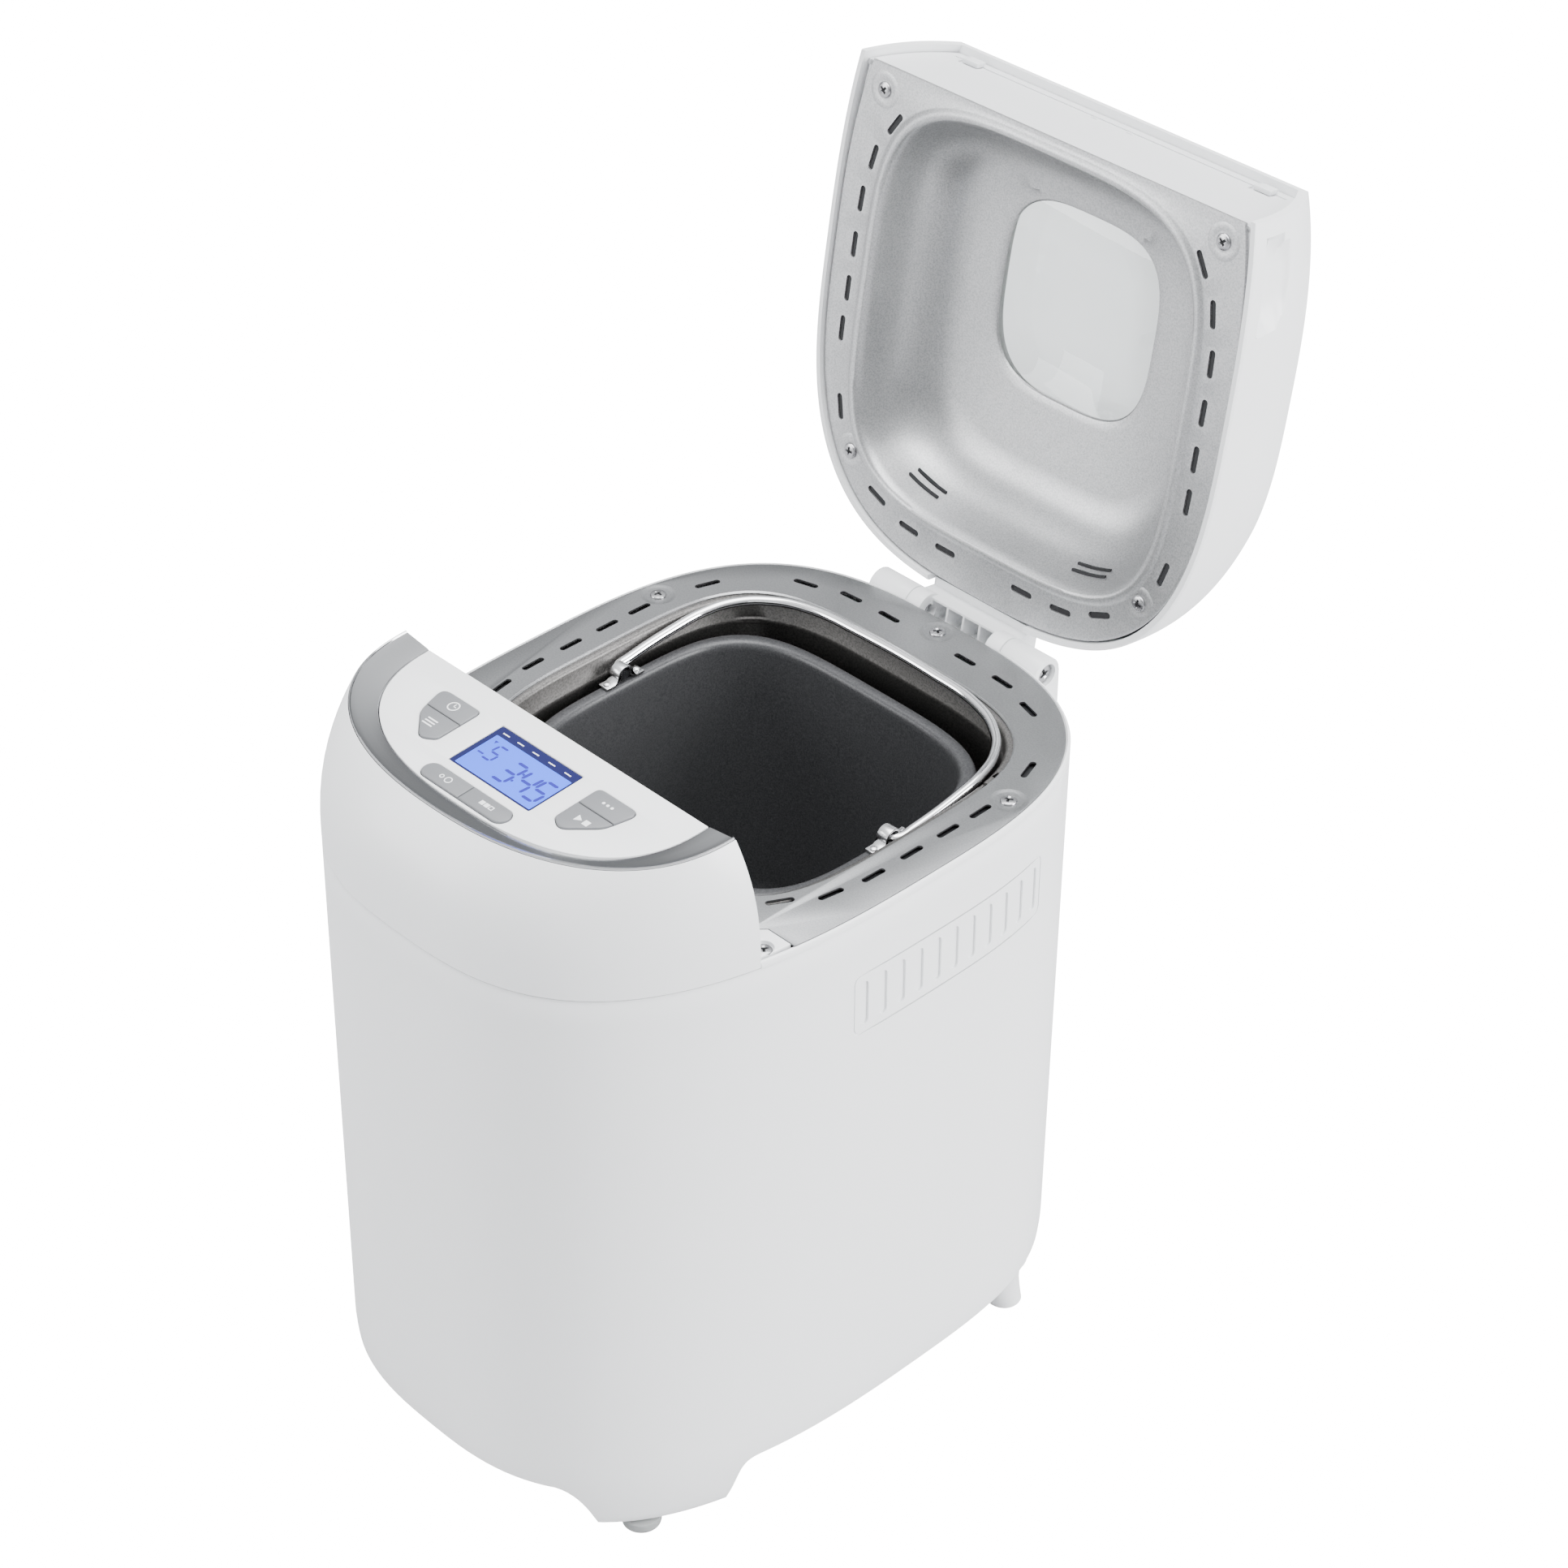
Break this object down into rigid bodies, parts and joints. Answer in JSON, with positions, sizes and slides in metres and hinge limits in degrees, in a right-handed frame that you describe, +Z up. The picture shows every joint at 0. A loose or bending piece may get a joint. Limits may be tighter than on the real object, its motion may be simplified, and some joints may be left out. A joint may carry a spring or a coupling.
{
  "type": "bread machine",
  "caption": "Upright bread machine with a hinged lid with a window, a lift-out pan with a wire handle and kneading paddle, a belt drive and a sloping button panel.",
  "frame": {"origin": "on the ground under the middle of the bounding box with the lid open", "axes": "+X to the machine's right side seen from the front, +Y to the back, where the hinge is, +Z up"},
  "size_m": [0.217, 0.3746, 0.4703],
  "materials": {
    "white_plastic": "smooth satin gloss, faint mould texture",
    "foot_rubber": "soft grey-white rubber",
    "screw_steel": "bright nickel plate",
    "rim_steel": "fine-grained silver sheet",
    "chamber_steel": "dark warm grey oven steel with heat tint",
    "motor_steel": "plain plated steel",
    "trim_chrome": "satin chrome on plastic",
    "display_glass": "clear display cover",
    "display_back": "blue backlit display",
    "circuit_board": "circuit board",
    "button_plastic": "satin mid grey",
    "pulley_plastic": "moulded glass-filled plastic",
    "belt_rubber": "black toothed rubber belt",
    "non_stick": "anthracite non-stick coating",
    "bracket_steel": "stamped steel",
    "handle_steel": "polished steel wire",
    "liner_steel": "speckled aluminised sheet",
    "seal_rubber": "grey silicone",
    "window_glass": "clear tempered glass"
  },
  "bodies": {
    "body": {"housing": "white_plastic", "base_cover": "white_plastic", "foot_front_left": "foot_rubber", "foot_front_right": "foot_rubber", "foot_rear_left": "white_plastic", "foot_rear_right": "white_plastic", "hinge_ear_left": "white_plastic", "hinge_ear_right": "white_plastic", "hinge_screw_left": "screw_steel", "hinge_screw_right": "screw_steel", "corner_screw_left": "screw_steel", "corner_screw_right": "screw_steel", "rim_plate": "rim_steel", "rim_screw_right": "screw_steel", "rim_screw_left": "screw_steel", "rim_screw_rear": "screw_steel", "oven_chamber": "chamber_steel", "heating_element": "chamber_steel", "temperature_sensor": "motor_steel", "power_gland": "white_plastic", "control_housing": "white_plastic", "trim_band": "trim_chrome", "control_panel": "white_plastic", "display_window": "display_glass", "display_module": "display_back", "control_board": "circuit_board", "motor": "motor_steel", "motor_bracket": "motor_steel", "drive_belt": "belt_rubber", "shaft_bearing": "motor_steel"},
    "rotor": {"motor_shaft": "motor_steel", "small_pulley": "pulley_plastic"},
    "drive": {"drive_shaft": "motor_steel", "large_pulley": "pulley_plastic", "drive_coupler": "motor_steel"},
    "pan": {"bread_pan": "non_stick", "pan_base_ring": "non_stick", "handle_bracket_left": "bracket_steel", "handle_bracket_right": "bracket_steel"},
    "bail": {"pan_handle": "handle_steel"},
    "paddle": {"paddle_shaft": "motor_steel", "kneading_paddle": "non_stick"},
    "lid": {"lid_cover": "white_plastic", "lid_frame": "white_plastic", "lid_liner": "liner_steel", "window_seal": "seal_rubber", "inner_window": "window_glass", "outer_window": "window_glass", "lid_screw_front_right": "screw_steel", "lid_screw_front_left": "screw_steel", "lid_screw_rear_right": "screw_steel", "lid_screw_rear_left": "screw_steel", "lid_hinge_bracket": "white_plastic"},
    "button_menu": {"button_menu": "button_plastic"},
    "button_time": {"button_time": "button_plastic"},
    "button_start_stop": {"button_start_stop": "button_plastic"},
    "button_setting": {"button_setting": "button_plastic"},
    "button_size": {"button_size": "button_plastic"},
    "button_browning": {"button_browning": "button_plastic"}
  },
  "joints": [
    {"name": "lid_hinge", "type": "hinge", "parent": "body", "child": "lid", "pos_m": [0, 0.10397, 0.2673], "axis": [-1, 0, 0], "range_deg": [-99.4, 0]},
    {"name": "pan_lift", "type": "slide", "parent": "body", "child": "pan", "axis": [0, 0, 1], "range_m": [0, 0.16]},
    {"name": "bail_swing", "type": "hinge", "parent": "pan", "child": "bail", "pos_m": [0, -0.01153, 0.2645], "axis": [1, 0, 0], "range_deg": [0, 166]},
    {"name": "drive_spin", "type": "hinge", "parent": "body", "child": "drive", "pos_m": [0, -0.01153, 0.06], "axis": [0, 0, 1], "continuous": true},
    {"name": "rotor_spin", "type": "hinge", "parent": "body", "child": "rotor", "pos_m": [0, -0.13753, 0.05], "axis": [0, 0, 1], "continuous": true},
    {"name": "paddle_spin", "type": "hinge", "parent": "pan", "child": "paddle", "pos_m": [0, -0.01153, 0.14], "axis": [0, 0, 1], "continuous": true},
    {"name": "press_menu", "type": "slide", "parent": "body", "child": "button_menu", "axis": [0, 0.0698, -0.9976], "range_m": [0, 0.0008], "stiffness_N_per_m": 1500, "springref_m": -0.0004},
    {"name": "press_time", "type": "slide", "parent": "body", "child": "button_time", "axis": [0, 0.0698, -0.9976], "range_m": [0, 0.0008], "stiffness_N_per_m": 1500, "springref_m": -0.0004},
    {"name": "press_start_stop", "type": "slide", "parent": "body", "child": "button_start_stop", "axis": [0, 0.0698, -0.9976], "range_m": [0, 0.0008], "stiffness_N_per_m": 1500, "springref_m": -0.0004},
    {"name": "press_setting", "type": "slide", "parent": "body", "child": "button_setting", "axis": [0, 0.0698, -0.9976], "range_m": [0, 0.0008], "stiffness_N_per_m": 1500, "springref_m": -0.0004},
    {"name": "press_size", "type": "slide", "parent": "body", "child": "button_size", "axis": [0, 0.0698, -0.9976], "range_m": [0, 0.0008], "stiffness_N_per_m": 1500, "springref_m": -0.0004},
    {"name": "press_browning", "type": "slide", "parent": "body", "child": "button_browning", "axis": [0, 0.0698, -0.9976], "range_m": [0, 0.0008], "stiffness_N_per_m": 1500, "springref_m": -0.0004}
  ],
  "couplings": [
    {"joint": "rotor_spin", "follows": "drive_spin", "ratio": 5},
    {"joint": "paddle_spin", "follows": "drive_spin", "ratio": 1}
  ]
}
